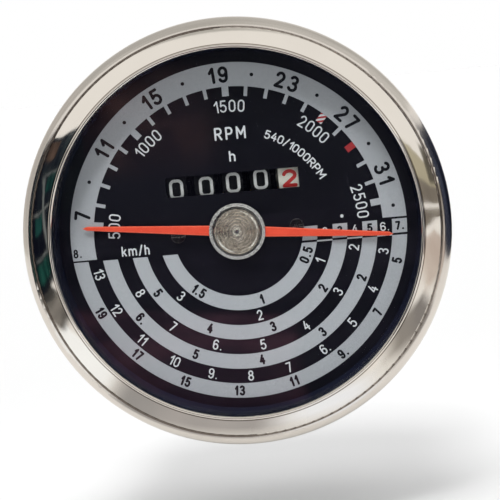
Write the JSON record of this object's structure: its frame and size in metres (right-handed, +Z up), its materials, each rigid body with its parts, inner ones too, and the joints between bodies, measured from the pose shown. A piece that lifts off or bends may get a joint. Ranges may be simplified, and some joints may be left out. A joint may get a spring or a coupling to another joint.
{
  "type": "tractor tachometer",
  "caption": "Round panel tachometer with a rolled bezel, double ended pointer, speed scales, hour counter and magnetic drag movement in a deep case.",
  "frame": {"origin": "on the barrel's axis, in the plane where the back of the bezel seats on the panel", "axes": "+Y from the dial back along the case, out of its rear; +Z up the dial; +X to the right of someone reading the dial"},
  "size_m": [0.115, 0.091, 0.115],
  "materials": {
    "chrome": "polished, satin on the outer roll",
    "glass": "clear flat glass",
    "rubber": "matt black",
    "black_gloss": "glossy black",
    "zinc": "passivated zinc plate",
    "dial_black": "satin black print",
    "dark_steel": "blackened",
    "brass": "turned",
    "pointer_red": "matt red orange",
    "nickel": "turned, satin",
    "steel": "bright",
    "spring": "phosphor bronze strip",
    "aluminium": "spun",
    "magnet": "ground",
    "black_plastic": "satin black",
    "white_plastic": "satin white",
    "bulb": "clear"
  },
  "bodies": {
    "housing": {"bezel": "chrome", "glass": "glass", "glass_gasket": "rubber", "trim_ring": "black_gloss", "case_seal": "rubber", "case": "zinc", "dial_plate": "dial_black", "dial_screws": "dark_steel", "dial_pillars": "brass", "hairspring": "spring", "hairspring_stud": "brass", "pointer_bush": "brass", "field_ring": "steel", "top_bridge": "brass", "bridge_screws": "steel", "frame_pillars": "brass", "base_plate": "zinc", "movement_screws": "steel", "counter_plate_left": "zinc", "counter_plate_right": "zinc", "counter_plate_screws": "steel", "counter_shaft": "steel", "carry_pinion_shaft": "steel", "cross_bracket_left": "zinc", "cross_bracket_right": "zinc", "cross_bracket_screws": "steel", "drive_bush": "brass", "drive_connector": "zinc", "connector_washer": "rubber", "mounting_studs": "zinc", "lamp_holders": "black_plastic", "lamp_bulbs": "bulb", "earth_tab": "zinc", "earth_screw": "steel"},
    "pointer": {"pointer_blade": "pointer_red", "pointer_hub": "nickel", "pointer_spindle": "steel", "drag_cup": "aluminium"},
    "speed_drive": {"drive_spindle": "steel", "drive_magnet": "magnet"},
    "cross_gear": {"cross_shaft": "steel", "cross_worm_wheel": "brass"},
    "upright_gear": {"upright_shaft": "steel", "upright_worm_wheel": "brass"},
    "counter_gear": {"counter_worm_wheel": "brass"},
    "wheel_tenths": {"digit_wheel_tenths": "white_plastic"},
    "wheel_units": {"digit_wheel_units": "black_plastic"},
    "wheel_tens": {"digit_wheel_tens": "black_plastic"},
    "wheel_hundreds": {"digit_wheel_hundreds": "black_plastic"},
    "wheel_thousands": {"digit_wheel_thousands": "black_plastic"},
    "pinion_units": {"carry_pinion_units": "white_plastic"},
    "pinion_tens": {"carry_pinion_tens": "white_plastic"},
    "pinion_hundreds": {"carry_pinion_hundreds": "white_plastic"},
    "pinion_thousands": {"carry_pinion_thousands": "white_plastic"}
  },
  "joints": [
    {"name": "pointer_turn", "type": "hinge", "parent": "housing", "child": "pointer", "pos_m": [0, 0, 0], "axis": [0, 1, 0], "range_deg": [0, 172], "stiffness_Nm_per_rad": 0.00002, "springref_deg": -20.05, "deforming": ["hairspring"]},
    {"name": "drive_spin", "type": "hinge", "parent": "housing", "child": "speed_drive", "pos_m": [0, 0.05, 0], "axis": [0, 1, 0], "continuous": true},
    {"name": "cross_gear_spin", "type": "hinge", "parent": "housing", "child": "cross_gear", "pos_m": [0, 0.05, 0.0125], "axis": [-1, 0, 0], "continuous": true},
    {"name": "upright_gear_spin", "type": "hinge", "parent": "housing", "child": "upright_gear", "pos_m": [0.0259, 0.05, 0.0245], "axis": [0, -1, 0], "continuous": true},
    {"name": "counter_gear_spin", "type": "hinge", "parent": "housing", "child": "counter_gear", "pos_m": [0.0259, 0.0126, 0.01325], "axis": [-1, 0, 0], "continuous": true},
    {"name": "wheel_tenths_turn", "type": "hinge", "parent": "housing", "child": "wheel_tenths", "pos_m": [0, 0.0126, 0.01325], "axis": [-1, 0, 0], "continuous": true},
    {"name": "wheel_units_turn", "type": "hinge", "parent": "housing", "child": "wheel_units", "pos_m": [0, 0.0126, 0.01325], "axis": [-1, 0, 0], "continuous": true},
    {"name": "wheel_tens_turn", "type": "hinge", "parent": "housing", "child": "wheel_tens", "pos_m": [0, 0.0126, 0.01325], "axis": [-1, 0, 0], "continuous": true},
    {"name": "wheel_hundreds_turn", "type": "hinge", "parent": "housing", "child": "wheel_hundreds", "pos_m": [0, 0.0126, 0.01325], "axis": [-1, 0, 0], "continuous": true},
    {"name": "wheel_thousands_turn", "type": "hinge", "parent": "housing", "child": "wheel_thousands", "pos_m": [0, 0.0126, 0.01325], "axis": [-1, 0, 0], "continuous": true},
    {"name": "pinion_units_turn", "type": "hinge", "parent": "housing", "child": "pinion_units", "pos_m": [0, 0.01733, 0.0234], "axis": [-1, 0, 0], "continuous": true},
    {"name": "pinion_tens_turn", "type": "hinge", "parent": "housing", "child": "pinion_tens", "pos_m": [0, 0.01733, 0.0234], "axis": [-1, 0, 0], "continuous": true},
    {"name": "pinion_hundreds_turn", "type": "hinge", "parent": "housing", "child": "pinion_hundreds", "pos_m": [0, 0.01733, 0.0234], "axis": [-1, 0, 0], "continuous": true},
    {"name": "pinion_thousands_turn", "type": "hinge", "parent": "housing", "child": "pinion_thousands", "pos_m": [0, 0.01733, 0.0234], "axis": [-1, 0, 0], "continuous": true}
  ],
  "couplings": [
    {"joint": "cross_gear_spin", "follows": "drive_spin", "ratio": 0.026316},
    {"joint": "upright_gear_spin", "follows": "drive_spin", "ratio": 0.00073099},
    {"joint": "counter_gear_spin", "follows": "drive_spin", "ratio": 0.000022151},
    {"joint": "wheel_units_turn", "follows": "wheel_tenths_turn", "ratio": 0.1},
    {"joint": "pinion_units_turn", "follows": "wheel_tenths_turn", "ratio": -0.25},
    {"joint": "wheel_tens_turn", "follows": "wheel_tenths_turn", "ratio": 0.01},
    {"joint": "pinion_tens_turn", "follows": "wheel_tenths_turn", "ratio": -0.025},
    {"joint": "wheel_hundreds_turn", "follows": "wheel_tenths_turn", "ratio": 0.001},
    {"joint": "pinion_hundreds_turn", "follows": "wheel_tenths_turn", "ratio": -0.0025},
    {"joint": "wheel_thousands_turn", "follows": "wheel_tenths_turn", "ratio": 0.0001},
    {"joint": "pinion_thousands_turn", "follows": "wheel_tenths_turn", "ratio": -0.00025}
  ]
}
